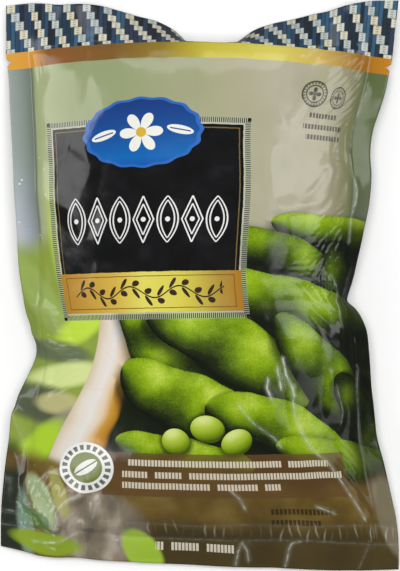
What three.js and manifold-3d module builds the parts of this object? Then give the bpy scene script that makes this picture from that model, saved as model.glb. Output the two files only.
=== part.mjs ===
// A sealed, printed film pouch of frozen edamame in the pod, lying on its back panel.
//
// Two rectangular webs of laminate film are heat-sealed to each other down both sides, across the
// header at the top and across the foot at the bottom. Filled, the pouch is a pillow: it draws in at
// the waist, where the side seals fold down, and stays flat and wide at its four corners. The header
// flops backwards in the middle, over the pillow's shoulder. Inside lie the pods, frozen together in
// pairs. Millimetres, +Z up, +Y towards the header. The origin is under the middle of the pouch, on
// the surface that it lies on.
import * as THREE from "three";
import { mergeVertices } from "three/addons/utils/BufferGeometryUtils.js";
import Module from "manifold-3d";

// The film as it is cut, before filling.
const FLAT_WIDTH = 203;
const FLAT_LENGTH = 305;
const SIDE_SEAL = 11;
const HEADER = 25; // sealed strip above the filling space
const FOOT_SEAL = 14;
const FILM = 0.4; // thickness of one web
const WEB_GAP = 0.2; // between the two webs where they are sealed

// The tear notches, one in each side seal, just under the header.
const NOTCH_DOWN = 30.5; // from the pouch's top edge
const NOTCH_DEPTH = 2.6;
const NOTCH_HEIGHT = 3.2;

// The filled pouch. Each list gives [distance down the flat film, value] and is read as a smooth curve.
const LEFT_EDGE_X = [
  [25, -98.3], [55, -96.8], [100, -94.5], [146, -92.2], [174, -87.9],
  [191, -83.3], [216, -90.5], [245, -97], [283, -101.2], [305, -101.4],
];
const RIGHT_EDGE_X = [
  [25, 96.7], [44, 94.3], [65, 88.2], [89, 86.5], [120, 83.2], [148, 77.4], [158, 75.3],
  [168, 81.4], [188, 86.3], [218, 88.8], [247, 93.9], [264, 98], [288, 101.2], [305, 101.4],
];
// Degrees that each side seal folds down from level.
const LEFT_DROOP = [[25, 0], [100, 6], [146, 18], [174, 48], [191, 66], [216, 38], [245, 14], [305, 4]];
const RIGHT_DROOP = [
  [25, 4], [65, 24], [89, 34], [120, 42], [148, 62], [158, 70], [172, 52], [218, 36], [264, 14], [305, 3],
];
// The height of each side seal's inner line, where the filling space begins.
const LEFT_SEAM_Z = [[25, 7], [60, 13], [110, 18], [190, 20], [240, 16], [270, 9], [291, 5], [305, 3.5]];
const RIGHT_SEAM_Z = [[25, 9], [60, 15], [110, 19], [190, 20], [240, 15], [270, 9], [291, 5], [305, 3]];
// The front web's height along the pouch's middle, and how far the back web would hang below the seals
// if nothing held it up.
const CROWN_Z = [
  [25, 26], [40, 35], [65, 42.5], [110, 47.5], [165, 49], [215, 46], [250, 37], [275, 21], [291, 8.5],
];
const BELLY_DROP = [[25, 0], [45, 34], [70, 52], [165, 60], [250, 44], [275, 22], [291, 0]];
// Where a row of film lies along the pouch, at its left edge, middle and right edge: [top, foot].
const ROW_Y = { left: [118.8, -133.1], middle: [121.4, -142.8], right: [116.3, -145.4] };
const SHOULDER_Z = 26; // the top seal's height in the middle
const HEEL_Z = 8.5; // the foot seal's height in the middle
const SHOULDER_LENGTH = 75; // how far down the pouch the top seal's arch fades out
const HEEL_LENGTH = 45;
const HEADER_FOLD = [
  [-101.5, 2], [-84, 12], [-71, 21], [-58, 22], [-41, 42], [-20, 70], [-4, 86],
  [18, 86], [31, 71], [51, 49], [77, 12], [101.5, -14],
]; // [distance across the flat film, degrees that the header is folded back]
const HEADER_SPLAY = 0.1; // how far the header's right end leans outwards, per millimetre of header
const ARC_HALF_ANGLE = 0.85; // radians, of the arc that the front web makes across the pouch
const BODY_STEP = 12; // between the grid lines of a web, over the filling space
const HEADER_STEP = 8;
const FOOT_STEP = 7;

// The filling.
const CLUMPS = 48; // pairs of pods
const HEAP = { x: [-58, 58], y: [-104, 92], z: [12, 36] }; // where the pairs' middles start
const POD_AXIS = 45; // between the centres of a pod's round ends
const POD_RADIUS = 6.1;
const POD_FLATNESS = 0.8; // thickness over width
const POD_CLEARANCE = 0.3; // between pods of different pairs
const FILM_CLEARANCE = 1.1; // between pods and the webs' curved sheets
const STRAIGHTEST = 0.97; // a bent pod's end-to-end length over its axis
const FROZEN_OVERLAP = 1.6; // how deep two pods of a pair are grown into each other
const POD_SAG = 2; // how far a pod's middle starts off its axis, at most, each way
const ROUNDS = 500; // of settling
const SINK = 0.12; // how far a pod sinks in a round, towards the back web and the foot
const SINKING_SHARE = 0.6; // of the rounds, before the pods only make room for each other

const bodyBottom = FLAT_LENGTH - FOOT_SEAL;
const bodyHalf = FLAT_WIDTH / 2 - SIDE_SEAL;
const edgeHalf = FLAT_WIDTH / 2;

// A smooth curve through [place, value] pairs: cubic pieces whose slopes follow the neighbours.
function curve(points) {
  const slope = (i) => {
    const [p, q] = [points[Math.max(i - 1, 0)], points[Math.min(i + 1, points.length - 1)]];
    return (q[1] - p[1]) / (q[0] - p[0]);
  };
  return (place) => {
    let i = 0;
    while (i < points.length - 2 && place > points[i + 1][0]) i += 1;
    const [[p0, v0], [p1, v1]] = [points[i], points[i + 1]];
    const span = p1 - p0;
    const t = THREE.MathUtils.clamp((place - p0) / span, 0, 1);
    const keep = (1 + 2 * t) * (1 - t) ** 2;
    const leave = t * (1 - t) ** 2 * slope(i) * span;
    const arrive = t * t * (t - 1) * slope(i + 1) * span;
    return v0 * keep + v1 * (1 - keep) + leave + arrive;
  };
}

const leftEdgeX = curve(LEFT_EDGE_X);
const rightEdgeX = curve(RIGHT_EDGE_X);
const leftDroop = curve(LEFT_DROOP);
const rightDroop = curve(RIGHT_DROOP);
const leftSeamZ = curve(LEFT_SEAM_Z);
const rightSeamZ = curve(RIGHT_SEAM_Z);
const crownZ = curve(CROWN_Z);
const bellyDrop = curve(BELLY_DROP);
const headerFold = curve(HEADER_FOLD);

// A weight that falls smoothly from 1 at start to 0 at end.
const fade = (place, start, end) => 1 - THREE.MathUtils.smoothstep(place, start, end);

// Where the row of film at distance down lies along the pouch, for a share across from -1 to 1.
function rowY(down, share) {
  const t = (down - HEADER) / (FLAT_LENGTH - HEADER);
  const [left, middle, right] = ["left", "middle", "right"].map((side) =>
    THREE.MathUtils.lerp(ROW_Y[side][0], ROW_Y[side][1], t),
  );
  const tilt = (right - left) / 2;
  const bow = (right + left) / 2 - middle;
  return middle + tilt * share + bow * share * share;
}

// The two lines where the side seals end and the filling space begins.
function seamLines(down) {
  const left = THREE.MathUtils.degToRad(leftDroop(down));
  const right = THREE.MathUtils.degToRad(rightDroop(down));
  return {
    left: { x: leftEdgeX(down) + SIDE_SEAL * Math.cos(left), z: leftSeamZ(down), droop: left },
    right: { x: rightEdgeX(down) - SIDE_SEAL * Math.cos(right), z: rightSeamZ(down), droop: right },
  };
}

// A point of a web in the filling space or its foot seal. side is 1 for the front web, -1 for the back.
// share runs from -1 at the left seam to 1 at the right one, measured along the film.
function pillowPoint(share, down, side) {
  const { left, right } = seamLines(down);
  const across = Math.sin(ARC_HALF_ANGLE * share) / Math.sin(ARC_HALF_ANGLE);
  const bulge =
    (Math.cos(ARC_HALF_ANGLE * share) - Math.cos(ARC_HALF_ANGLE)) / (1 - Math.cos(ARC_HALF_ANGLE));
  const x = THREE.MathUtils.lerp(left.x, right.x, (across + 1) / 2);
  const seam = THREE.MathUtils.lerp(left.z, right.z, (across + 1) / 2);
  const shoulder = SHOULDER_Z - (leftSeamZ(HEADER) + rightSeamZ(HEADER)) / 2;
  const heel = HEEL_Z - (leftSeamZ(bodyBottom) + rightSeamZ(bodyBottom)) / 2;
  const arch =
    shoulder * fade(down, HEADER, HEADER + SHOULDER_LENGTH) +
    heel *
      THREE.MathUtils.smoothstep(down, bodyBottom - HEEL_LENGTH, bodyBottom) *
      fade(down, bodyBottom, FLAT_LENGTH);
  const sheet = seam + arch * bulge;
  const middleSheet = (left.z + right.z) / 2 + arch;
  const open = down < bodyBottom ? 1 : 0;
  const rise = side > 0 ? (crownZ(down) - middleSheet) * bulge : -bellyDrop(down) * bulge;
  const lowest = WEB_GAP / 2 + FILM;
  return new THREE.Vector3(x, rowY(down, across), Math.max(sheet + open * rise, lowest));
}

// A point of a web anywhere on the flat film: across from -edgeHalf to edgeHalf, down from the top edge.
function filmPoint(across, down, side) {
  if (down < HEADER) {
    const root = filmPoint(across, HEADER, side);
    const fold = THREE.MathUtils.degToRad(headerFold(across));
    const reach = HEADER - down;
    const splay = HEADER_SPLAY * THREE.MathUtils.smoothstep(across, 0, edgeHalf);
    return root.add(new THREE.Vector3(splay * reach, Math.cos(fold) * reach, -Math.sin(fold) * reach));
  }
  const share = THREE.MathUtils.clamp(across / bodyHalf, -1, 1);
  const point = pillowPoint(share, down, side);
  const past = Math.abs(across) - bodyHalf;
  if (past > 0) {
    const { left, right } = seamLines(down);
    const droop = across < 0 ? left.droop : right.droop;
    const edgeY = rowY(down, Math.sign(across) * (1 + past / bodyHalf));
    point.x += Math.sign(across) * past * Math.cos(droop);
    point.y = edgeY;
    point.z = Math.max(point.z - past * Math.sin(droop), WEB_GAP / 2 + FILM);
  }
  return point;
}

// Evenly spaced places from start to end, in steps of about size.
function steps(start, end, size) {
  const count = Math.max(1, Math.round(Math.abs(end - start) / size));
  return Array.from({ length: count + 1 }, (_, i) => THREE.MathUtils.lerp(start, end, i / count));
}

const COLUMNS = [
  ...steps(-edgeHalf, -bodyHalf, SIDE_SEAL),
  ...steps(-bodyHalf, bodyHalf, BODY_STEP).slice(1),
  ...steps(bodyHalf, edgeHalf, SIDE_SEAL).slice(1),
];
const ROWS = [
  ...steps(0, HEADER, HEADER_STEP),
  ...steps(HEADER, bodyBottom, BODY_STEP).slice(1),
  ...steps(bodyBottom, FLAT_LENGTH, FOOT_STEP).slice(1),
];

// One web as a closed shell: its sheet is offset along its own normals to an inner and an outer face.
function webGeometry(side) {
  const grid = ROWS.map((down) => COLUMNS.map((across) => filmPoint(across, down, side)));
  const [rows, columns] = [ROWS.length, COLUMNS.length];
  const outward = grid.map((row, j) =>
    row.map((_, i) => {
      const alongX = grid[j][Math.min(i + 1, columns - 1)].clone().sub(grid[j][Math.max(i - 1, 0)]);
      const alongY = grid[Math.max(j - 1, 0)][i].clone().sub(grid[Math.min(j + 1, rows - 1)][i]);
      return alongX.cross(alongY).normalize().multiplyScalar(side);
    }),
  );
  const layer = (offset) =>
    grid.flatMap((row, j) => row.map((p, i) => p.clone().addScaledVector(outward[j][i], offset)));
  const points = [...layer(WEB_GAP / 2 + FILM), ...layer(WEB_GAP / 2)];
  const faces = [];
  const quad = (a, b, c, d) => faces.push(...(side > 0 ? [a, b, c, a, c, d] : [a, c, b, a, d, c]));
  const outer = (j, i) => j * columns + i;
  const inner = (j, i) => rows * columns + j * columns + i;
  for (let j = 0; j < rows - 1; j += 1)
    for (let i = 0; i < columns - 1; i += 1) {
      quad(outer(j + 1, i), outer(j + 1, i + 1), outer(j, i + 1), outer(j, i));
      quad(inner(j + 1, i), inner(j, i), inner(j, i + 1), inner(j + 1, i + 1));
    }
  const [foot, right] = [rows - 1, columns - 1];
  for (let j = 0; j < foot; j += 1) {
    quad(outer(j, 0), inner(j, 0), inner(j + 1, 0), outer(j + 1, 0));
    quad(outer(j + 1, right), inner(j + 1, right), inner(j, right), outer(j, right));
  }
  for (let i = 0; i < right; i += 1) {
    quad(outer(0, i), outer(0, i + 1), inner(0, i + 1), inner(0, i));
    quad(outer(foot, i + 1), outer(foot, i), inner(foot, i), inner(foot, i + 1));
  }
  const geometry = new THREE.BufferGeometry().setFromPoints(points);
  geometry.setIndex(faces);
  return geometry;
}

// The boolean library and the two ways between its solids and three.js geometry.
const wasm = await Module();
wasm.setup();

function solidOf(geometry) {
  const bare = geometry.clone();
  bare.deleteAttribute("normal");
  bare.deleteAttribute("uv");
  const merged = mergeVertices(bare, 1e-4);
  return new wasm.Manifold(
    new wasm.Mesh({
      numProp: 3,
      vertProperties: merged.attributes.position.array,
      triVerts: new Uint32Array(merged.index.array),
    }),
  );
}

function geometryOf(solid) {
  const mesh = solid.getMesh();
  const geometry = new THREE.BufferGeometry();
  geometry.setAttribute("position", new THREE.BufferAttribute(mesh.vertProperties, 3));
  geometry.setIndex(new THREE.BufferAttribute(mesh.triVerts, 1));
  geometry.computeVertexNormals();
  return geometry;
}

// A V notch's cutting prism: its point lies in the seal, its open side past the film's edge.
function notchCutter(sign) {
  const edge = filmPoint(sign * edgeHalf, NOTCH_DOWN, 1);
  const inward = filmPoint(sign * bodyHalf, NOTCH_DOWN, 1).sub(edge).normalize();
  const overrun = 1;
  const halfOpen = (NOTCH_HEIGHT / 2) * ((NOTCH_DEPTH + overrun) / NOTCH_DEPTH);
  const outline = new THREE.Shape([
    new THREE.Vector2(NOTCH_DEPTH, 0),
    new THREE.Vector2(-overrun, halfOpen),
    new THREE.Vector2(-overrun, -halfOpen),
  ]);
  const height = 12;
  const prism = new THREE.ExtrudeGeometry(outline, { depth: height, bevelEnabled: false });
  prism.translate(0, 0, -height / 2);
  prism.rotateZ(Math.atan2(inward.y, inward.x));
  prism.translate(edge.x, edge.y, edge.z);
  return solidOf(prism);
}

function webSolid(side) {
  const notches = notchCutter(-1).add(notchCutter(1));
  return geometryOf(solidOf(webGeometry(side)).subtract(notches));
}

// Seeded random numbers from 0 to 1, so that the filling is the same every time.
function randomSource(seed) {
  let state = seed;
  return () => {
    state = (Math.imul(state, 1664525) + 1013904223) >>> 0;
    return state / 4294967296;
  };
}

// The share across and distance down of the film over a place on the pouch's plan.
function filmOver(x, y) {
  const passes = 4;
  let across = 0;
  let down = FLAT_LENGTH / 2;
  for (let pass = 0; pass < passes; pass += 1) {
    const top = rowY(HEADER, across);
    const foot = rowY(FLAT_LENGTH, across);
    down = THREE.MathUtils.mapLinear(y, top, foot, HEADER, FLAT_LENGTH);
    down = THREE.MathUtils.clamp(down, HEADER, bodyBottom);
    const { left, right } = seamLines(down);
    across = THREE.MathUtils.clamp(THREE.MathUtils.mapLinear(x, left.x, right.x, -1, 1), -1, 1);
  }
  return { share: Math.asin(across * Math.sin(ARC_HALF_ANGLE)) / ARC_HALF_ANGLE, down };
}

// Pushes a pod's point back between the webs, along the normal of the web that it meets.
function keepInside(point, radius) {
  const probe = 2;
  const [towardsX, towardsY] = [-Math.sign(point.x) * probe, -Math.sign(point.y) * probe];
  const heights = [[0, 0], [towardsX, 0], [0, towardsY]].map(([dx, dy]) => {
    const { share, down } = filmOver(point.x + dx, point.y + dy);
    return [1, -1].map((side) => pillowPoint(share, down, side).z);
  });
  [1, -1].forEach((side, k) => {
    const [here, alongX, alongY] = heights.map((pair) => pair[k]);
    const slopeX = (alongX - here) / towardsX;
    const slopeY = (alongY - here) / towardsY;
    const normal = new THREE.Vector3(-slopeX, -slopeY, 1).normalize();
    const room = (here - point.z) * normal.z * side;
    if (room < radius) point.addScaledVector(normal, -side * (radius - room));
  });
}

// The nearest points of two straight stretches, as shares along each.
function nearestShares(a0, a1, b0, b1) {
  const [u, v, w] = [a1.clone().sub(a0), b1.clone().sub(b0), a0.clone().sub(b0)];
  const [uu, uv, vv, uw, vw] = [u.dot(u), u.dot(v), v.dot(v), u.dot(w), v.dot(w)];
  const clamp = (value) => THREE.MathUtils.clamp(value, 0, 1);
  const flat = uu * vv - uv * uv;
  let s = flat > 1e-6 ? clamp((uv * vw - vv * uw) / flat) : 0.5;
  const t = clamp((uv * s + vw) / vv);
  s = clamp((uv * t - uw) / uu);
  return [s, t];
}

// Settles the pods into the pouch. Each pod is three points, its ends and its middle; every round
// moves overlapping pods apart, keeps each at its length, holds each pair together at its middles and
// keeps everything between the webs.
function settledPods() {
  const random = randomSource(20);
  const between = (low, high) => low + (high - low) * random();
  const slope = 0.15; // of a pod that starts off level, at most
  const pods = [];
  for (let clump = 0; clump < CLUMPS; clump += 1) {
    const middle = new THREE.Vector3(between(...HEAP.x), between(...HEAP.y), between(...HEAP.z));
    for (let member = 0; member < 2; member += 1) {
      const heading = between(0, Math.PI);
      const half = new THREE.Vector3(Math.cos(heading), Math.sin(heading), between(-slope, slope));
      half.setLength(POD_AXIS / 2);
      const centre = middle.clone().add(new THREE.Vector3(0, 0, member * 2 * POD_RADIUS));
      const sag = new THREE.Vector3(between(-1, 1), between(-1, 1), between(-1, 1));
      const bent = centre.clone().addScaledVector(sag, POD_SAG);
      const points = [centre.clone().sub(half), bent, centre.clone().add(half)];
      pods.push({ clump, roll: between(0, Math.PI), points });
    }
  }
  const apart = 2 * POD_RADIUS + POD_CLEARANCE;
  const pairGap = 2 * POD_RADIUS * POD_FLATNESS - FROZEN_OVERLAP;
  const pairFirmness = 0.8;
  for (let round = 0; round < ROUNDS; round += 1) {
    const sink = round < ROUNDS * SINKING_SHARE ? SINK : 0;
    for (const { points } of pods)
      for (const point of points) point.add(new THREE.Vector3(0, -sink / 2, -sink));
    for (let i = 0; i < pods.length; i += 1)
      for (let j = i + 1; j < pods.length; j += 1) separate(pods[i], pods[j], apart);
    for (const pod of pods) {
      stretch(pod.points[0], pod.points[1], POD_AXIS / 2, 1);
      stretch(pod.points[1], pod.points[2], POD_AXIS / 2, 1);
      if (pod.points[0].distanceTo(pod.points[2]) < STRAIGHTEST * POD_AXIS)
        stretch(pod.points[0], pod.points[2], STRAIGHTEST * POD_AXIS, 1);
    }
    for (let i = 0; i < pods.length; i += 2)
      stretch(pods[i].points[1], pods[i + 1].points[1], pairGap, pairFirmness);
    for (const { points } of pods)
      for (const point of points) keepInside(point, POD_RADIUS + FILM_CLEARANCE);
  }
  return pods;
}

// Moves two points, half-way each, to the given distance apart.
function stretch(p, q, distance, firmness) {
  const gap = q.clone().sub(p);
  const move = ((gap.length() - distance) / 2) * firmness;
  gap.normalize();
  p.addScaledVector(gap, move);
  q.addScaledVector(gap, -move);
}

// Moves two pods to the given distance apart where their axes are nearer, unless they are a pair
// meeting at its frozen middles.
function separate(one, other, apart) {
  const [p, q] = [one.points, other.points];
  if (p[1].distanceTo(q[1]) > POD_AXIS + apart) return;
  const paired = one.clump === other.clump;
  const nearMiddle = (place) => place > 0.5 && place < 1.5;
  for (let i = 0; i < 2; i += 1)
    for (let j = 0; j < 2; j += 1) {
      const [s, t] = nearestShares(p[i], p[i + 1], q[j], q[j + 1]);
      const here = p[i].clone().lerp(p[i + 1], s);
      const there = q[j].clone().lerp(q[j + 1], t);
      const gap = there.sub(here);
      const reach = gap.length();
      if (paired && nearMiddle(s + i)) continue;
      if (reach >= apart || reach < 1e-6) continue;
      gap.setLength((apart - reach) / 2);
      p[i].addScaledVector(gap, -(1 - s));
      p[i + 1].addScaledVector(gap, -s);
      q[j].addScaledVector(gap, 1 - t);
      q[j + 1].addScaledVector(gap, t);
    }
}

// A pod: a flattened, slightly bent body with three bean swellings, a blunt stalk end and a pointed tip.
const POD_RINGS = [
  [-0.04, 0.5], [0.13, 1], [0.31, 0.8], [0.49, 1], [0.67, 0.82], [0.84, 0.98], [1.02, 0.45],
]; // [share of the axis, share of the radius]
const POD_TIPS = [-0.11, 1.12];
const POD_SIDES = 6;

function podGeometry({ points, roll }) {
  const [start, middle, end] = points;
  const bend = middle.clone().multiplyScalar(2).sub(start.clone().add(end).multiplyScalar(0.5));
  const axis = new THREE.QuadraticBezierCurve3(start, bend, end);
  const at = (share) => {
    const inside = THREE.MathUtils.clamp(share, 0, 1);
    const tangent = axis.getTangent(inside);
    return { centre: axis.getPoint(inside).addScaledVector(tangent, (share - inside) * POD_AXIS), tangent };
  };
  const vertices = [at(POD_TIPS[0]).centre];
  for (const [share, width] of POD_RINGS) {
    const { centre, tangent } = at(share);
    const sideways = new THREE.Vector3(0, 0, 1).cross(tangent).normalize().applyAxisAngle(tangent, roll);
    const upwards = tangent.clone().cross(sideways);
    for (let k = 0; k < POD_SIDES; k += 1) {
      const turn = (k / POD_SIDES) * 2 * Math.PI;
      vertices.push(
        centre.clone()
          .addScaledVector(sideways, Math.cos(turn) * POD_RADIUS * width)
          .addScaledVector(upwards, Math.sin(turn) * POD_RADIUS * width * POD_FLATNESS));
    }
  }
  vertices.push(at(POD_TIPS[1]).centre);
  const faces = [];
  const ring = (j, k) => 1 + j * POD_SIDES + (k % POD_SIDES);
  const last = POD_RINGS.length - 1;
  for (let k = 0; k < POD_SIDES; k += 1) {
    faces.push(0, ring(0, k + 1), ring(0, k));
    for (let j = 0; j < last; j += 1) {
      faces.push(ring(j, k), ring(j, k + 1), ring(j + 1, k + 1));
      faces.push(ring(j, k), ring(j + 1, k + 1), ring(j + 1, k));
    }
    faces.push(vertices.length - 1, ring(last, k), ring(last, k + 1));
  }
  const geometry = new THREE.BufferGeometry().setFromPoints(vertices);
  geometry.setIndex(faces);
  return geometry;
}

const filmFinish = { roughness: 0.35, metalness: 0 };
const frontMaterial = new THREE.MeshStandardMaterial({ color: 0xa3ae7e, ...filmFinish });
const backMaterial = new THREE.MeshStandardMaterial({ color: 0x97a174, ...filmFinish });
const podMaterial = new THREE.MeshStandardMaterial({ color: 0x6f9a2c, roughness: 0.7, metalness: 0 });

function part(name, geometry, material) {
  const mesh = new THREE.Mesh(geometry, material);
  mesh.name = name;
  return mesh;
}

const pouch = new THREE.Group();
pouch.add(part("film_front", webSolid(1), frontMaterial));
pouch.add(part("film_back", webSolid(-1), backMaterial));

// The origin goes under the middle of the two webs.
const extent = new THREE.Box3().setFromObject(pouch);
const middle = extent.getCenter(new THREE.Vector3());
pouch.position.set(-middle.x, -middle.y, -extent.min.z);

const pods = settledPods();
for (let i = 0; i < pods.length; i += 2) {
  const pair = solidOf(podGeometry(pods[i])).add(solidOf(podGeometry(pods[i + 1])));
  const number = String(i / 2 + 1).padStart(2, "0");
  pouch.add(part(`pods_${number}`, geometryOf(pair), podMaterial));
}

export default pouch;
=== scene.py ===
"""A sealed, printed film pouch of frozen edamame in the pod, lying on its back panel.

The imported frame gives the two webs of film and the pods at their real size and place. This script
fills the webs the way real film fills: it cannot stretch, so it creases, and it is printed flat."""
import math

import bmesh
import bpy
import numpy as np
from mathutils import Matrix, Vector


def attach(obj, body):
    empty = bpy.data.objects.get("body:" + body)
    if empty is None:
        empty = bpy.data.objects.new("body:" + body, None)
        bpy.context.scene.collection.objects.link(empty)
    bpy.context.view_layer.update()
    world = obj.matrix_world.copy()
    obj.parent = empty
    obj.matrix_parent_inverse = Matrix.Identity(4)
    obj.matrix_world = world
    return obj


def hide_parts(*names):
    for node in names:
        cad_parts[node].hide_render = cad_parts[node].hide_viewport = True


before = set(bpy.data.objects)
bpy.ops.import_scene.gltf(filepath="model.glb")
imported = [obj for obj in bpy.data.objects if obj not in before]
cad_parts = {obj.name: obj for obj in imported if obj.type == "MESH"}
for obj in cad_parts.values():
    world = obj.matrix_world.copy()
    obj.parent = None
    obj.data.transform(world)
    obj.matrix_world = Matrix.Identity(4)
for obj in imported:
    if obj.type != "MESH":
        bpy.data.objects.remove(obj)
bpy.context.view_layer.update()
mm = 0.001

# ---- The two webs, as the filling shapes them ----
# The pouch is two rectangles of laminate film, 203 by 305 mm, heat-sealed to each other along both
# sides, across the header and across the foot. Filled, it is a pillow that draws in at the waist.

FLAT_WIDTH = 203 * mm
FLAT_LENGTH = 305 * mm
SIDE_SEAL = 11 * mm
HEADER = 25 * mm
FOOT_SEAL = 14 * mm
EDGE = FLAT_WIDTH / 2
BODY_HALF = EDGE - SIDE_SEAL
BODY_FOOT = FLAT_LENGTH - FOOT_SEAL
REST_HEIGHT = 0.25 * mm  # of the sealed film's middle above the floor

# Each pair is a place down the flat film, in millimetres, and a value there: millimetres, or degrees for
# a droop.
LEFT_EDGE_X = (
    (25, -98.8), (40, -97.1), (55, -96.4), (75, -95.2), (100, -94.1), (123, -92.6), (142, -91.6),
    (155, -89.8), (168, -87.8), (177, -84.8), (185, -83.3), (194, -83.8), (210, -89.8), (225, -94.8),
    (240, -96.8), (262, -99.6), (283, -101.3), (305, -101.7),
)
RIGHT_EDGE_X = (
    (25, 97.9), (34, 96.1), (44, 94.2), (55, 91.1), (66, 87.9), (78, 86.5), (91, 87), (108, 85.9),
    (124, 82.9), (140, 79.9), (153, 77.4), (160, 75.4), (164, 74.9), (168, 78.9), (174, 82.4),
    (182, 84.9), (194, 86), (208, 87), (223, 88.6), (238, 90.3), (252, 93.8), (268, 97.5),
    (279, 100.1), (290, 101.5), (305, 101.7),
)
LEFT_DROOP = ((25, 0), (98, 6), (141, 18), (168, 48), (185, 66), (210, 38), (240, 14), (305, 4))
RIGHT_DROOP = (
    (25, 4), (66, 24), (91, 34), (124, 42), (154, 62), (164, 70), (178, 52), (223, 36), (268, 14), (305, 3),
)
LEFT_SEAM_Z = ((25, 7), (60, 13), (110, 18), (190, 20), (240, 16), (270, 9), (291, 5), (305, 3.5))
RIGHT_SEAM_Z = ((25, 9), (60, 15), (110, 19), (190, 20), (240, 15), (270, 9), (291, 5), (305, 3))
CROWN_Z = (
    (25, 26), (40, 35), (65, 42.5), (110, 47.5), (165, 49), (215, 46), (250, 37), (275, 21), (291, 8.5),
)
BELLY_DROP = ((25, 0), (45, 34), (70, 52), (165, 60), (250, 44), (275, 22), (291, 0))
ROW_Y = {"left": (119.8, -131.9), "middle": (123.4, -141.4), "right": (117.3, -144.1)}
SWING = (  # how far a row of film is turned, as a slope
    (25, 0), (66, 0.014), (108, 0.028), (132, 0.041), (150, 0.052), (170, 0.056), (200, 0.052),
    (242, 0.041), (266, 0.034), (291, 0), (305, 0),
)
SHOULDER_Z, SHOULDER_LENGTH = 26 * mm, 75 * mm
HEEL_Z, HEEL_LENGTH = 8.5 * mm, 45 * mm
ARC_HALF_ANGLE = 0.85
EVENED_ROWS = (-14, -7, 0, 7, 14)  # millimetres from a row: its seal starts are averaged over these
WAIST_FADE = 6  # the power of the place across by which a sudden waist fades inwards

# These go by the place across the film: the fold in degrees, the others in millimetres.
HEADER_FOLD = (
    (-101.5, 2), (-92, 5), (-84, 12), (-71, 24), (-58, 27), (-48, 34), (-39, 44), (-30, 53),
    (-20, 61), (-12, 72), (-4, 89), (6, 95), (16, 88), (26, 70), (34, 61), (44, 53), (54, 43),
    (64, 32), (77, 8), (88, -4), (101.5, -10),
)
HEADER_TRIM = ((-101.5, -0.4), (-84, 0), (64, 0), (77, 0.8), (88, 2.9), (101.5, 4.9))
HEADER_SPLAY = 0.1
FOOT_SAG = (
    (-101.5, 2.1), (-94, 2.6), (-87, 3.3), (-80, 4.1), (-73, 4.1), (-65, 3.4), (-58, 2.7), (-44, 2.7),
    (-29, 1.9), (-7, 0.9), (22, 0.5), (36, 0), (58, 0.7), (101.5, 0.4),
)


def curve(rows, unit=mm):
    """A smooth curve through (place, value) rows: cubic pieces whose slopes follow the neighbours."""
    place, value = np.array(rows, float).T
    place, value = place * mm, value * unit
    slope = np.gradient(value, place)
    slope[1:-1] = (value[2:] - value[:-2]) / (place[2:] - place[:-2])

    def at(x):
        i = np.clip(np.searchsorted(place, x, side="right") - 1, 0, len(place) - 2)
        span = place[i + 1] - place[i]
        t = np.clip((x - place[i]) / span, 0, 1)
        keep = (1 + 2 * t) * (1 - t) ** 2
        bend = t * (1 - t) ** 2 * slope[i] + t * t * (t - 1) * slope[i + 1]
        return value[i] * keep + value[i + 1] * (1 - keep) + bend * span

    return at


def smooth(x, start, end):
    """Rises from 0 at start to 1 at end, as 3t^2 - 2t^3."""
    t = np.clip((x - start) / (end - start), 0, 1)
    return t * t * (3 - 2 * t)


left_x, right_x = curve(LEFT_EDGE_X), curve(RIGHT_EDGE_X)
left_droop, right_droop = curve(LEFT_DROOP, math.radians(1)), curve(RIGHT_DROOP, math.radians(1))
left_z, right_z = curve(LEFT_SEAM_Z), curve(RIGHT_SEAM_Z)
crown_z, belly_drop, swing = curve(CROWN_Z), curve(BELLY_DROP), curve(SWING, 1)
header_fold, header_trim = curve(HEADER_FOLD, math.radians(1)), curve(HEADER_TRIM)
foot_sag = curve(FOOT_SAG)


def row_y(down, share):
    """Where a row of film lies along the pouch: a line through its ends, bowed to its middle."""
    t = (down - HEADER) / (FLAT_LENGTH - HEADER)
    left, middle, right = (mm * (top + (foot - top) * t) for top, foot in ROW_Y.values())
    y = middle + (right - left) / 2 * share + ((right + left) / 2 - middle) * share**2
    return y + swing(down) * share * BODY_HALF


def seal_starts(row):
    """Where the two side seals begin, left and right, at a row."""
    return (left_x(row) + SIDE_SEAL * np.cos(left_droop(row)),
            right_x(row) - SIDE_SEAL * np.cos(right_droop(row)))


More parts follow.
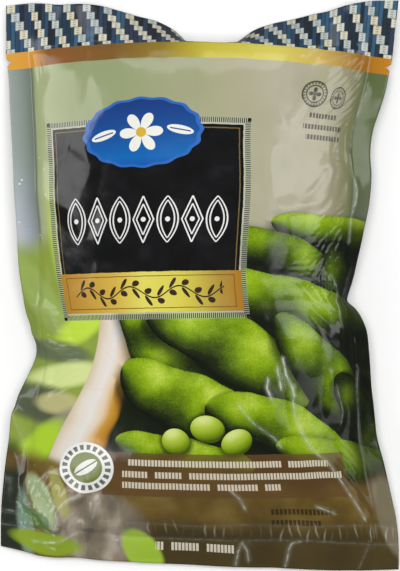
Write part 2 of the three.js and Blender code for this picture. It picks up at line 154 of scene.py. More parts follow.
def filled(across, down, side):
    """The filled web over each place (across, down) of the flat film. Over the filling space a row is an
    arc: across = sin(k s) / sin(k), and it bulges by (cos(k s) - cos(k)) / (1 - cos(k)) times the rise
    to the crown or the drop to the floor. A sudden waist in the outline fades inwards, as a high power of
    the place across. The side seals hang off at their droop, and the header is turned about the top
    seal's line."""
    row = np.maximum(down, HEADER)
    starts = seal_starts(row)
    near = [seal_starts(np.clip(row + step * mm, HEADER, FLAT_LENGTH)) for step in EVENED_ROWS]
    start, end = np.mean(near, 0)
    share = np.clip(across / BODY_HALF, -1, 1)
    chord = np.sin(ARC_HALF_ANGLE * share) / math.sin(ARC_HALF_ANGLE)
    bulge = (np.cos(ARC_HALF_ANGLE * share) - math.cos(ARC_HALF_ANGLE)) / (1 - math.cos(ARC_HALF_ANGLE))
    shoulder = SHOULDER_Z - (left_z(HEADER) + right_z(HEADER)) / 2
    heel = HEEL_Z - (left_z(BODY_FOOT) + right_z(BODY_FOOT)) / 2
    arch = shoulder * (1 - smooth(row, HEADER, HEADER + SHOULDER_LENGTH))
    arch = arch + heel * smooth(row, BODY_FOOT - HEEL_LENGTH, BODY_FOOT) * (
        1 - smooth(row, BODY_FOOT, FLAT_LENGTH))
    x = start + (end - start) * (chord + 1) / 2
    x = x + np.where(across < 0, starts[0] - start, starts[1] - end) * np.abs(chord) ** WAIST_FADE
    z = left_z(row) + (right_z(row) - left_z(row)) * (chord + 1) / 2 + arch * bulge
    middle = (left_z(row) + right_z(row)) / 2 + arch
    rise = (crown_z(row) - middle) if side > 0 else -belly_drop(row)
    z = np.maximum(z + rise * bulge * (row < BODY_FOOT), REST_HEIGHT)
    past = np.maximum(np.abs(across) - BODY_HALF, 0)
    sign = np.sign(across)
    droop = np.where(across < 0, left_droop(row), right_droop(row))
    x = x + sign * past * np.cos(droop)
    z = np.maximum(z - past * np.sin(droop), REST_HEIGHT)
    y = row_y(row, np.where(past > 0, sign * (1 + past / BODY_HALF), chord))
    y = y - foot_sag(across) * smooth(row, BODY_FOOT - HEEL_LENGTH, FLAT_LENGTH)
    fold, reach = header_fold(across), np.maximum(HEADER - down, 0)
    x = x + HEADER_SPLAY * smooth(across, 0, EDGE) * reach
    return np.stack([x, y + np.cos(fold) * reach, z - np.sin(fold) * reach], -1)


# The film is relaxed on a grid that is made twice as fine, twice.
COARSE_COLUMNS, COARSE_ROWS, LEVELS = 50, 76, 3


def film_places(level):
    """The flat places, across and down, of the grid points at a level. The header's free edge is trimmed
    a little out of square."""
    columns, rows = COARSE_COLUMNS * 2**level, COARSE_ROWS * 2**level
    across, down = np.meshgrid(np.linspace(-EDGE, EDGE, columns + 1), np.linspace(0, FLAT_LENGTH, rows + 1))
    return across, down - header_trim(across) * np.maximum(1 - down / HEADER, 0)


def doubled(sheets):
    """The same sheets with a point added midway between each two, by the weights -1, 9, 9, -1."""
    for axis in (1, 2):
        p = np.moveaxis(sheets, axis, 0)
        wide = np.concatenate([2 * p[:1] - p[1:2], p, 2 * p[-1:] - p[-2:-1]])
        between = (9 * (wide[1:-2] + wide[2:-1]) - wide[:-3] - wide[3:]) / 16
        finer = np.empty((2 * len(p) - 1, *p.shape[1:]))
        finer[::2], finer[1::2] = p, between
        sheets = np.moveaxis(finer, 0, axis)
    return np.ascontiguousarray(sheets)


def area_normals(sheets):
    """Each grid point's outward area vector: the cross product of its row's and its column's step."""
    along = np.gradient(sheets, axis=2)
    up = -np.gradient(sheets, axis=1)
    normal = np.cross(along, up)
    normal[1] *= -1
    return normal


CELL = 2 * mm  # of the map of the filling
SPOTS = 5  # steps along each side of a triangle, between the points that are spread over it
AROUND = [(i, j) for i in (-1, 0, 1) for j in (-1, 0, 1)]
MARGIN = 3  # cells with no filling, round the map
NO_FILLING = 50 * mm  # the lowest surface's height where nothing lies


def shifted(cells):
    """The map as it is, and moved by one cell each way."""
    return [np.roll(cells, step, (0, 1)) for step in AROUND]


def heap_map():
    """The filling's highest and lowest surface over each cell of the floor, from points spread over the
    pods' triangles: widened by a cell each way, and then softened, as film does not follow a step."""
    shares = [(i / SPOTS, j / SPOTS) for i in range(SPOTS + 1) for j in range(SPOTS + 1 - i)]
    spots = []
    for name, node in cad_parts.items():
        if name.startswith("pods"):
            mesh = node.data
            co = np.empty(len(mesh.vertices) * 3)
            mesh.vertices.foreach_get("co", co)
            corner = np.empty(len(mesh.polygons) * 3, int)
            mesh.polygons.foreach_get("vertices", corner)
            a, b, c = co.reshape(-1, 3)[corner.reshape(-1, 3)].transpose(1, 0, 2)
            spots += [a + (b - a) * u + (c - a) * v for u, v in shares]
    spots = np.concatenate(spots)
    cells = np.round(spots[:, :2] / CELL).astype(int)
    low = cells.min(0) - MARGIN
    shape = tuple(cells.max(0) - low + 1 + MARGIN)
    top, under = np.zeros(shape), np.full(shape, NO_FILLING)
    at = tuple((cells - low).T)
    np.maximum.at(top, at, spots[:, 2])
    np.minimum.at(under, at, spots[:, 2])
    top = np.max(shifted(top), 0)
    under = np.min(shifted(under), 0)
    for _ in range(2):
        top = np.minimum(top, np.mean(shifted(top), 0))
        under = np.maximum(under, np.mean(shifted(under), 0))
    return top, under, low


def over_heap(heap, low, x, y):
    """The map's value at each place, straight between cells."""
    u, v = x / CELL - low[0], y / CELL - low[1]
    i = np.clip(u.astype(int), 0, heap.shape[0] - 2)
    j = np.clip(v.astype(int), 0, heap.shape[1] - 2)
    s, t = np.clip(u - i, 0, 1), np.clip(v - j, 0, 1)
    near = heap[i, j] * (1 - t) + heap[i, j + 1] * t
    far = heap[i + 1, j] * (1 - t) + heap[i + 1, j + 1] * t
    return near * (1 - s) + far * s


def hold(p, q, length, firm_out, firm_in):
    """Moves paired points half-way each towards their length apart, by one share where they are too far
    apart and by another where they are too near."""
    gap = q - p
    reach = np.sqrt(np.einsum("...k,...k->...", gap, gap))
    off = reach - length
    gap *= (np.where(off > 0, firm_out, firm_in) * off / (2 * reach + 1e-9))[..., None]
    p += gap
    q -= gap


def patch(across, down, middle, reach):
    """A soft round patch on the flat film: exp(-d^2), with d measured in its two reaches."""
    return np.exp(-(((across - middle[0] * mm) / (reach[0] * mm)) ** 2
                    + ((down - middle[1] * mm) / (reach[1] * mm)) ** 2))


# Where the film's spare length stays in it as creases: middle and reach on the flat film, in
# millimetres, and the share of it along the rows and along the columns that stays.
EVEN_SLACK = (0.05, 0.03)
SLACK = (
    ((76, 120), (14, 75), (0.14, 0.05)),  # the right flank
    ((-84, 190), (22, 22), (0.12, 0.16)),  # the left waist
    ((82, 158), (22, 20), (0.12, 0.14)),  # the right waist
    ((-70, 272), (30, 18), (0.35, 0.30)),  # the lower corners
    ((80, 268), (30, 24), (0.25, 0.22)),
    ((0, 287), (90, 9), (0.40, 0.10)),  # above the foot seal
    ((-70, 32), (30, 12), (0.10, 0.10)),  # under the header
    ((72, 38), (26, 18), (0.15, 0.15)),
)


def slack(across, down):
    """The shares of its spare length that the film keeps at each place, along rows and along columns."""
    shares = [np.full(across.shape, even) for even in EVEN_SLACK]
    for middle, reach, amounts in SLACK:
        spot = patch(across, down, middle, reach)
        shares = [share + amount * spot for share, amount in zip(shares, amounts)]
    return shares


def links(sheets, wanted, spacing, spare, firmness):
    """Every pair of grid points that the film holds at a distance, as (points, points, distance, firmness
    when too far apart, firmness when too near): neighbours along rows and columns, both diagonals, and
    points some steps apart, which resist bending. The distance is the wanted shape's, plus the spare share
    of what the flat film has more. No point is twice in one pair of slices."""
    *firm, bend = firmness
    crosswise, lengthwise, skew = *spare, (spare[0] + spare[1]) / 2
    pairs = []

    def pair(rows, columns, flat, share, *firm):
        (j, k), (i, h) = rows, columns
        gap = np.linalg.norm(wanted[:, j, i] - wanted[:, k, h], axis=-1)
        distance = gap if flat is None else gap + share[j, i] * (flat - gap)
        pairs.append((sheets[:, j, i], sheets[:, k, h], distance, *firm))

    def apart(count, reach, start):
        """Every second of the points that are some steps apart, and the others."""
        return slice(start, count - reach, 2 * reach), slice(start + reach, count, 2 * reach)

    rows, columns = sheets.shape[1:3]
    every = slice(None), slice(None)
    falling = slice(0, rows - 1), slice(1, rows)
    for start in (0, 1):
        beside = apart(columns, 1, start)
        pair(every, beside, spacing[0], crosswise, *firm)
        for diagonal in (falling, falling[::-1]):
            pair(diagonal, beside, math.hypot(*spacing), skew, *firm)
        pair(apart(rows, 1, start), every, spacing[1], lengthwise, *firm)
    for reach in BEND_REACHES if rows > FINE_ROWS else BEND_REACHES[:1]:
        for start in range(2 * reach):
            pair(every, apart(columns, reach, start), None, None, 0, bend)
            pair(apart(rows, reach, start), every, None, None, 0, bend)
    return pairs


AIR = 1.03  # volume of the pouch over the volume of the shape that it is filled to
WEIGHT = 0.0004 * mm  # how far the film sinks in a round
PRESS = 0.02 * mm  # how far the air moves the film in a round, at most
AIR_GAIN = 40  # how fast the press rises with the air that is still to come in
CONTACT = 0.6 * mm  # from the middle of the film to the filling
NUDGE = 0.4 * mm  # how far the filling moves the film in a round, at most
MOMENTUM = 0.9  # share of its last move that the film goes on with
PULL, RIM_PULL = 0.004, 0.2  # share of the way to the wanted shape in a round, and more of it at the rim
ROUNDS = (500, 350, 160)  # at each level of fineness
FIRMNESS = ((0.9, 0.5, 0.25), (0.9, 0.4, 0.3), (0.9, 0.35, 0.3))
BEND_REACHES = (2, 5)  # grid steps over which the film resists bending: the second on the finest grid,
FINE_ROWS = 200  # which has more rows than this


def relaxed(filling):
    """Both webs, settled: every round moves the film on as it was moving, presses it outwards while the
    pouch holds less than its air, holds it at its lengths, welds the seals, and keeps the outline, the
    floor and the filling where they are."""
    top, under, corner = filling
    sheets = np.stack([filled(*film_places(0), side) for side in (1, -1)])
    for level in range(LEVELS):
        across, down = film_places(level)
        wanted = np.stack([filled(across, down, side) for side in (1, -1)])
        if level:
            sheets = doubled(sheets)
        sealed = (np.abs(across) > BODY_HALF - mm) | (down < HEADER + mm) | (down > BODY_FOOT - mm)
        rim = smooth(np.abs(across), BODY_HALF, EDGE)
        rim = np.maximum(rim, smooth(down, BODY_FOOT, FLAT_LENGTH))
        rim = np.maximum(rim, 1 - smooth(down, 0, HEADER))
        pull = (PULL + RIM_PULL * rim)[..., None]
        volume = (wanted[..., 2] * area_normals(wanted)[..., 2]).sum() * AIR
        spacing = across[0, 1] - across[0, 0], down[-1, 0] - down[-2, 0]
        pairs = links(sheets, wanted, spacing, slack(across, down), FIRMNESS[level])
        moving = np.zeros_like(sheets)
        for _ in range(ROUNDS[level]):
            before = sheets.copy()
            normal = area_normals(sheets)
            held = (sheets[..., 2] * normal[..., 2]).sum()
            normal /= np.linalg.norm(normal, axis=-1, keepdims=True) + 1e-12
            press = np.clip((volume - held) / volume * AIR_GAIN, -1, 1) * PRESS
            sheets += MOMENTUM * moving + press * normal
            sheets[..., 2] -= WEIGHT
            for pair in pairs:
                hold(*pair)
            sheets += pull * (wanted - sheets)
            x, y, z = np.moveaxis(sheets, -1, 0)
            lift = np.clip(over_heap(top, corner, x[0], y[0]) + CONTACT - z[0], 0, NUDGE)
            drop = np.clip(z[1] + CONTACT - over_heap(under, corner, x[1], y[1]), 0, NUDGE)
            sheets[0, ..., 2] += lift
            sheets[1, ..., 2] -= drop
            sheets[:, sealed] = sheets[:, sealed].mean(0)
            sheets[..., 2] = np.maximum(sheets[..., 2], REST_HEIGHT)
            moving = sheets - before
    return sheets


# ---- The creases that packing left, and the two shells ----
# Sharp creases that the front web keeps from packing: height, half-width to its left and right, all in
# millimetres, how strong the pale line of painted highlight along its fold is, and the places on the flat
# film that the ridge runs through.
CREASES = (
    (0.5, 2.5, 2, 0.35, ((91.7, 41), (91.7, 45.3), (90.3, 58.5), (88.9, 68.2), (89, 76.7))),
    (0.7, 3, 2, 0.5, ((87.8, 81.4), (88.5, 89.6), (92.3, 99.9), (92.1, 106.7), (90.6, 115.3), (92, 130))),
    (2.3, 13, 5, 0.45, ((78.7, 150), (84.2, 159.3), (81.5, 169.9), (81.3, 177))),
    (0.8, 5, 4, 0.1, ((96, 146), (87, 170))),
    (1.5, 10, 3, 0.3, ((74.7, 209), (78.3, 222.3), (76.7, 227.5))),
    (-0.5, 5, 5, 0, ((64, 222), (72.8, 212))),
    (0.6, 2, 2, 1, ((43.4, 193.7), (45, 202), (48.5, 208.7), (49.3, 212.9))),
    (0.5, 2, 2, 0.9, ((40.2, 198.9), (42.3, 208.8))),
    (0.5, 2, 2, 0.9, ((35.3, 204.2), (34.7, 208.6), (37.1, 214.1))),
    (1.1, 3.5, 7, 0.55, ((48.6, 212.9), (49.6, 222.9), (53.3, 232.9), (58.1, 241.4), (66.1, 248.1),
                        (73.2, 259.9), (76.6, 266.5), (83.2, 278))),
    (0.4, 3, 3, 0.4, ((21, 217.9), (28.4, 227.1), (38.6, 234.8), (41.9, 239.6))),
    (0.4, 2.2, 3, 0.15, ((92.2, 200), (91, 214), (90.6, 230), (90.2, 247.4), (90, 261.2), (90.4, 272))),
    (1.2, 8, 2.4, 0.2, ((73.9, 90), (71, 105.4), (66.9, 110), (45.9, 114.9))),
    (-0.5, 3, 3, 0, ((70.6, 91), (64.6, 100.9), (57.9, 107.8))),
    (0.6, 3, 5, 0.1, ((39.6, 80.8), (37.9, 90.5), (39.5, 103.3), (41.6, 113.7))),
    (0.6, 4, 2.4, 0.25, ((49, 66), (51.1, 62.3), (54.7, 53.8), (57.5, 49))),
    (0.4, 4, 4, 0, ((39.8, 49), (40.9, 59.8), (45.7, 66))),
    (0.5, 3, 2, 0.2, ((72.9, 76), (70.7, 89.5))),
    (0.6, 2.4, 4, 0.4, ((53, 30.5), (59.4, 23.7))),
    (0.9, 7, 4, 0.15, ((62.5, 32.8), (80.5, 24.5))),
    (0.5, 3, 3, 0.15, ((83.6, 36), (86.3, 24))),
    (0.5, 2.4, 2.4, 0.5, ((16, 263), (19.5, 267.2), (21.5, 272.6))),
    (0.45, 2, 2, 0.5, ((57.1, 271.3), (65.9, 274.8))),
    (0.9, 8, 8, 0, ((-92.9, 133.2), (-85.8, 160.2), (-96, 182))),
    (1.0, 6, 6, 0.1, ((-101.5, 178), (-77.6, 189.3))),
    (1.1, 6, 6, 0.15, ((-95.5, 162), (-82, 167), (-76.6, 178))),
    (0.6, 6, 6, 0, ((-101.2, 214.7), (-86.9, 216.9), (-73.7, 213.5))),
    (1.2, 7, 4, 0.15, ((-101, 226), (-89.7, 248.9), (-85.7, 262.1))),
    (1.8, 4, 9, 0.3, ((-89, 263), (-87.8, 274.8), (-74, 286.2), (-69.4, 287.6))),
    (1.3, 6, 3, 0.3, ((-87.8, 274.8), (-77.9, 276.5), (-69.4, 287.6))),
    (1.5, 5, 4, 0.35, ((-69.3, 287), (-66, 274.2), (-55.5, 267.8))),
    (1.2, 4, 5, 0.3, ((-69.3, 287), (-61.3, 279.8))),
    (1.0, 6, 6, 0.1, ((-79.9, 261.6), (-74.2, 256), (-68, 258.1))),
    (0.9, 4, 4, 0.3, ((-46.1, 270), (-48.2, 273.3), (-49.7, 280))),
    (0.6, 2.5, 2.5, 0.35, ((-82.8, 297.7), (-66.8, 296.1), (-58.3, 291.1))),
    (0.55, 1.8, 2.4, 0.45, ((16.2, 303.9), (17.3, 296), (19.3, 291.4), (21.5, 295.2), (22.1, 300.9))),
    (0.55, 1.8, 2.4, 0.45, ((39.5, 303.4), (41.3, 294), (43, 290.6), (47, 289.5))),
    (0.6, 3, 5, 0.1, ((86, 289), (78, 305))),
    (-0.25, 2.2, 2.2, 0.12, ((-102, 292.5), (-64.5, 289.5), (-31.9, 291.4), (0.2, 290.8), (52, 289),
                             (102, 291.5))),
    (-0.3, 2.6, 2.6, 0.08, ((-102, 285), (-56.4, 281.8), (0.4, 282.9), (18.7, 281.2), (88.1, 281.2),
                            (102, 284.2))),
)
CRUMPLES = (  # middle, reach, height in coarse facets, height in fine facets: patches of crushed film
    ((0, 150), (300, 300), 0.25, 0.02), ((70, 100), (20, 70), 1.3, 0.05), ((80, 165), (15, 24), 1.5, 0.12),
    ((80, 235), (18, 42), 1.3, 0.08), ((-66, 274), (24, 15), 2.8, 0.6), ((-87, 190), (14, 32), 1.5, 0.2),
    ((0, 38), (90, 10), 0.6, 0.03), ((25, 276), (75, 8), 0.7, 0.15), ((-50, 294), (34, 12), 1.2, 0.9),
    ((-60, 110), (34, 60), 0.75, 0.04), ((45, 225), (34, 30), 1.0, 0.06), ((60, 298), (45, 8), 0.9, 0.1),
    ((95, 280), (9, 12), 1.0, 0.3), ((-98, 110), (7, 60), 0.5, 0.05),
)
PLEATS = (281, 291)  # where the film gathers above the foot seal
PLEAT_HEIGHT, PLEAT_FADE = 0.8, 3 * mm
WHITE_REACH = 1.7 * mm  # how far from a crease its painted highlight is told
COARSE_FACETS, FINE_FACETS = (15, 1.6, 3), (8, 1.6, 5)  # spacing, how many times that down, and seed
NOTCH_DOWN, NOTCH_DEPTH, NOTCH_HALF = 30.1 * mm, 2.6 * mm, 1.6 * mm


def ridge(across, down, points, left, right):
    """A ridge along a line through the points: 1 on it, falling straight to 0 at one distance on its left
    and another on its right, as seen going down it. Also how far each place is from the line, which is
    below 0 on its left."""
    points = np.array(points, float) * mm
    nearest = np.full(across.shape, 1.0)
    side = np.ones(across.shape)
    for (a, b), (c, d) in zip(points[:-1], points[1:]):
        t = ((across - a) * (c - a) + (down - b) * (d - b)) / ((c - a) ** 2 + (d - b) ** 2)
        t = np.clip(t, 0, 1)
        far = np.hypot(across - a - t * (c - a), down - b - t * (d - b))
        turned = (across - a) * (d - b) - (down - b) * (c - a)
        side = np.where(far < nearest, np.where(turned < 0, -1, 1), side)
        nearest = np.minimum(nearest, far)
    reach = np.where(side < 0, left, right) * mm
    return np.maximum(1 - nearest / reach, 0), nearest * side


def facets(across, down, spacing, tall, seed):
    """Flat facets with sharp edges: the square distance to the nearest of one set of scattered places,
    less that to the nearest of another set, which is a plane between any two places. The places are a
    spacing apart across the film and a number of times that down it."""
    chance = np.random.default_rng(seed)
    x, y = across / (spacing * mm), down / (spacing * tall * mm)
    squares = []
    for _ in range(2):
        columns, rows = np.arange(math.floor(x.min()) - 1, x.max() + 2), np.arange(-2, y.max() + 2)
        places = np.stack(np.meshgrid(columns, rows)).reshape(2, -1)
        places += chance.uniform(-0.5, 0.5, places.shape)
        square = np.full(x.shape, 9.0)
        for a, b in places.T:
            square = np.minimum(square, (x - a) ** 2 + (y - b) ** 2)
        squares.append(square)
    return squares[0] - squares[1]


def unit(vectors):
    """The same directions at length 1."""
    return vectors / np.linalg.norm(vectors, axis=-1, keepdims=True)


def surface_normals(sheet):
    """Each grid point's unit normal, which is up for a flat sheet."""
    return unit(np.cross(np.gradient(sheet, axis=1), -np.gradient(sheet, axis=0)))


def notched(sheet, across, down):
    """The sheet and its flat places with a tear notch in each side: the edge is drawn in along its row,
    by a V of the notch's depth."""
    along = unit(np.gradient(sheet, axis=1))
    draw = NOTCH_DEPTH * np.maximum(1 - np.abs(down - NOTCH_DOWN) / NOTCH_HALF, 0)
    draw = draw * np.sign(across) * smooth(np.abs(across), EDGE - 8 * mm, EDGE)
    return sheet - along * draw[..., None], across - draw


def pleated(across, down):
    """Small upright pleats: two triangle waves along the foot that lean into each other."""
    first = np.abs((across / (5.3 * mm) + down / (31 * mm)) % 1 - 0.5)
    second = np.abs((across / (8.9 * mm) - down / (23 * mm)) % 1 - 0.5)
    top, foot = PLEATS[0] * mm, PLEATS[1] * mm
    window = smooth(down, top, top + PLEAT_FADE) * (1 - smooth(down, foot - PLEAT_FADE, foot))
    return (first * second - 0.06) * 4 * window * smooth(across, -50 * mm, 20 * mm)


def softened(height):
    """Each value mixed with its neighbours, half and half, along the rows and then along the columns."""
    for turned in (False, True):
        height = height.T if turned else height
        padded = np.pad(height, ((1, 1), (0, 0)), mode="edge")
        height = (padded[2:] + padded[:-2] + 2 * height) / 4
    return height.T


def crease_heights(across, down):
    """How far out the front web's creases, crushed patches and pleats stand, in millimetres; how far each
    place is from the crease with the strongest painted highlight near it, in millimetres with a sign for
    its side; and how strong that crease's painted highlight is, less so the further away from it."""
    height = PLEAT_HEIGHT * pleated(across, down)
    beside = np.full(across.shape, 9.0)
    white = np.zeros(across.shape)
    for rise, left, right, highlight_share, points in CREASES:
        shape, far = ridge(across, down, points, left, right)
        height += rise * shape
        near = highlight_share * np.exp(-((far / WHITE_REACH) ** 2))
        beside = np.where(near > white, far / mm, beside)
        white = np.maximum(white, near)
    coarse, fine = (facets(across, down, *kind) for kind in (COARSE_FACETS, FINE_FACETS))
    for middle, reach, high, low in CRUMPLES:
        height += patch(across, down, middle, reach) * (high * coarse + low * fine)
    return softened(height), beside, white


SEALED_GAP = 0.05 * mm  # less than this between the webs means that they are sealed
DENT_SHARE = 0.8  # of the room between the webs, which a dent may take up


def creased(sheets, height):
    """Both webs with the front one moved out along its normals by the creases' height, and the back one
    moved with it where the two are sealed together."""
    front = sheets[0]
    gap = np.linalg.norm(front - sheets[1], axis=-1, keepdims=True)
    sealed = gap < SEALED_GAP
    height = height[..., None] * mm
    move = surface_normals(front) * np.where(sealed, height, np.maximum(height, -DENT_SHARE * gap))
    move[..., 2] = np.maximum(move[..., 2], REST_HEIGHT - front[..., 2])
    return np.stack([front + move, sheets[1] + move * sealed])


FILM = 0.2 * mm
WELD = 0.06 * mm  # between the two webs where they are sealed


def placed(name, data):
    """A new object of the scene, unturned at its middle."""
    thing = bpy.data.objects.new(name, data)
    bpy.context.scene.collection.objects.link(thing)
    return thing


def web_piece(name, side, sheet, across, down, marks=()):
    """One web as a closed shell: its sheet moved along its normals to an outer face, and every second
    point of it to an inner face, with the rim between them closed. The UV map holds each point's place
    on the flat film, in metres. Each of the marks becomes an attribute of the points."""
    normal = surface_normals(sheet) * side
    outer = np.arange(across.size).reshape(across.shape)
    inner = across.size + np.arange(across[::2, ::2].size).reshape(across[::2, ::2].shape)
    points = np.concatenate([
        (sheet + normal * (WELD / 2 + FILM)).reshape(-1, 3),
        (sheet + normal * WELD / 2)[::2, ::2].reshape(-1, 3)])
    around = [np.concatenate([g[:, 0], g[-1, 1:], g[-2::-1, -1], g[0, -2:0:-1]]) for g in (outer, inner)]
    rim, under = around
    after, over, under_after = np.roll(rim, -1), np.roll(rim, -2)[::2], np.roll(under, -1)
    faces = [
        np.stack([outer[1:, :-1], outer[1:, 1:], outer[:-1, 1:], outer[:-1, :-1]], -1).reshape(-1, 4),
        np.stack([inner[:-1, :-1], inner[:-1, 1:], inner[1:, 1:], inner[1:, :-1]], -1).reshape(-1, 4),
    ]
    fans = [
        np.stack([rim[::2], under, after[::2]], -1),
        np.stack([after[::2], under, under_after], -1),
        np.stack([after[::2], under_after, over], -1),
    ]
    corners = np.concatenate([f[:, ::side].ravel() for f in faces + fans])
    sizes = np.concatenate([np.full(len(f), f.shape[1]) for f in faces + fans])
    mesh = bpy.data.meshes.new(name)
    mesh.vertices.add(len(points))
    mesh.vertices.foreach_set("co", points.ravel())
    mesh.loops.add(len(corners))
    mesh.loops.foreach_set("vertex_index", corners)
    mesh.polygons.add(len(sizes))
    mesh.polygons.foreach_set("loop_start", np.cumsum(sizes) - sizes)
    mesh.polygons.foreach_set("use_smooth", np.ones(len(sizes), bool))
    mesh.update(calc_edges=True)
    mesh.validate()
    flat = np.stack([across, down], -1)
    places = np.concatenate([flat.reshape(-1, 2), flat[::2, ::2].reshape(-1, 2)])
    mesh.uv_layers.new(name="flat_film").data.foreach_set("uv", places[corners].ravel())
    for mark, values in dict(marks).items():
        values = np.concatenate([values.ravel(), values[::2, ::2].ravel()])
        mesh.attributes.new(mark, "FLOAT", "POINT").data.foreach_set("value", values)
    return placed(name, mesh)


SLIDE = ((25, 0), (120, 0), (142, 2), (160, 5), (172, 6.6), (190, 7), (215, 4), (240, 0.5), (305, 0))


def print_places(across, down):
    """Where the print of each point is: the film slid outwards over the filling at the left waist."""
    slid = curve(SLIDE)(down) * np.exp(-(((across / BODY_HALF + 0.8) / 0.22) ** 2))
    return across - slid * (1 - smooth(np.abs(across), EDGE - 12 * mm, EDGE))


across, down = film_places(LEVELS - 1)
settled = relaxed(heap_map())
height, beside, white = crease_heights(across, down)
front_sheet, back_sheet = creased(settled, height)
front_sheet, front_across = notched(front_sheet, print_places(across, down), down)
back_sheet, back_across = notched(back_sheet, across, down)


# ---- The front web and its print ----
# The laminate is printed on the inside of its clear outer film, so the picture is flat, glossy and
# goes into every crease. All places here are millimetres on the flat film: across from its middle,
# down from its header's edge.


def operator(operation, swapped=False):
    """A method that adds the Math node of an operation on its Value and another value, in that order or
    the other way round."""

    def method(self, other):
        return self.finish.math(operation, *((other, self) if swapped else (self, other)))

    return method


class Value:
    """A number or colour that varies over a material. An operator on it adds the Math node that does
    the sum, and | is the larger of two."""

    def __init__(self, finish, socket):
        self.finish, self.socket = finish, socket

    def __abs__(self):
        return self.finish.math("ABSOLUTE", self)

    def whole(self):
        return self.finish.math("FLOOR", self)

    __add__ = __radd__ = operator("ADD")
    __mul__ = __rmul__ = operator("MULTIPLY")
    __sub__, __rsub__ = operator("SUBTRACT"), operator("SUBTRACT", True)
    __truediv__, __pow__ = operator("DIVIDE"), operator("POWER")
    __mod__, __or__ = operator("FLOORED_MODULO"), operator("MAXIMUM")
    __lt__, __gt__ = operator("LESS_THAN"), operator("GREATER_THAN")


def colour(code):
    """The linear colour that six hexadecimal digits of display colour stand for."""
    display = np.array([int(code[i : i + 2], 16) for i in (0, 2, 4)]) / 255
    return (*np.where(display < 0.04045, display / 12.92, ((display + 0.055) / 1.055) ** 2.4), 1)


class Finish:
    """A material, the nodes that it is built from, and the picture that is painted on it so far."""

    def __init__(self, name):
        self.material = bpy.data.materials.new(name)
        self.material.use_nodes = True
        self.tree = self.material.node_tree
        self.shader = self.tree.nodes["Principled BSDF"]
        self.picture = None

    def add(self, kind, settings=(), sockets=()):
        """Adds a node, with its settings first and then the values or links of its sockets."""
        node = self.tree.nodes.new("ShaderNode" + kind)
        for name, value in dict(settings).items():
            if name == "stops":
                while len(node.color_ramp.elements) < len(value):
                    node.color_ramp.elements.new(1)
                for element, (place, shade) in zip(node.color_ramp.elements, value):
                    element.position, element.color = place, colour(shade)
            else:
                setattr(node, name, value)
        for name, value in dict(sockets).items():
            self.put(node.inputs[name], value)
        return node

    def put(self, socket, value):
        if isinstance(value, Value):
            self.tree.links.new(value.socket, socket)
        else:
            socket.default_value = value

    def node(self, kind, settings=(), sockets=(), gives=0):
        return Value(self, self.add(kind, settings, sockets).outputs[gives])

    def math(self, operation, *values):
        return self.node("Math", {"operation": operation}, enumerate(values))

    def rise(self, value, start, end, low=0, high=1):
        """Goes smoothly from low at start to high at end."""
        return self.node(
            "MapRange", {"interpolation_type": "SMOOTHSTEP"},
            {"Value": value, "From Min": start, "From Max": end, "To Min": low, "To Max": high})

    def mix(self, share, first, second, blend="MIX"):
        first, second = (colour(c) if isinstance(c, str) else c for c in (first, second))
        settings = {"data_type": "RGBA", "blend_type": blend}
        return self.node("Mix", settings, {0: share, 6: first, 7: second}, 2)

    def paint(self, share, tint):
        """Lays a colour over the picture: fully where its share is 1, and not at all where it is 0."""
        self.picture = self.mix(share, self.picture, tint)

    def ramp(self, value, *stops):
        return self.node("ValToRGB", {"stops": stops}, {0: value})

    def noise(self, place, scale, detail=2, roughness=0.5):
        sockets = {"Vector": place, "Scale": scale, "Detail": detail, "Roughness": roughness}
        return self.node("TexNoise", (), sockets)

    def chance(self, across, down):
        """A number from 0 to 1, as good as random, for each pair of whole numbers."""
        return self.math("SINE", across * 12.99 + down * 78.23 + 1) * 4375.85 % 1

    def between(self, value, low, high):
        return (value > low) * (value < high)

    def line(self, value, at, thickness):
        """1 where the value is within half the thickness of a place."""
        return abs(value - at) < thickness / 2

    def local(self, middle, angle, size):
        """The place on the film, seen from a middle, turned by an angle and measured in a size."""
        c, s = math.cos(math.radians(angle)), math.sin(math.radians(angle))
        turned = []
        for x, y, reach in ((c, s, size[0]), (-s, c, size[1])):
            x, y = x / reach, y / reach
            start = self.math("MULTIPLY_ADD", self.across, x, -middle[0] * x - middle[1] * y)
            turned.append(self.math("MULTIPLY_ADD", self.down, y, start))
        return turned

    def polar(self, u, v):
        """The distance and the direction from the middle of two places."""
        return (u * u + v * v) ** 0.5, self.math("ARCTAN2", v, u)

    def set(self, **sockets):
        for name, value in sockets.items():
            self.put(self.shader.inputs[name.replace("_", " ")], value)


def film_finish(name):
    """A new material that knows its flat-film place, as a vector and as two numbers, in millimetres."""
    f = Finish(name)
    flat = f.node("UVMap", {"uv_map": "flat_film"})
    f.place = f.node("Mapping", (), {"Vector": flat, "Scale": (1 / mm,) * 3})
    f.across, f.down = (Value(f, socket) for socket in f.add("SeparateXYZ", (), {0: f.place}).outputs[:2])
    return f


RIM = EDGE / mm  # how far across the film's edge is


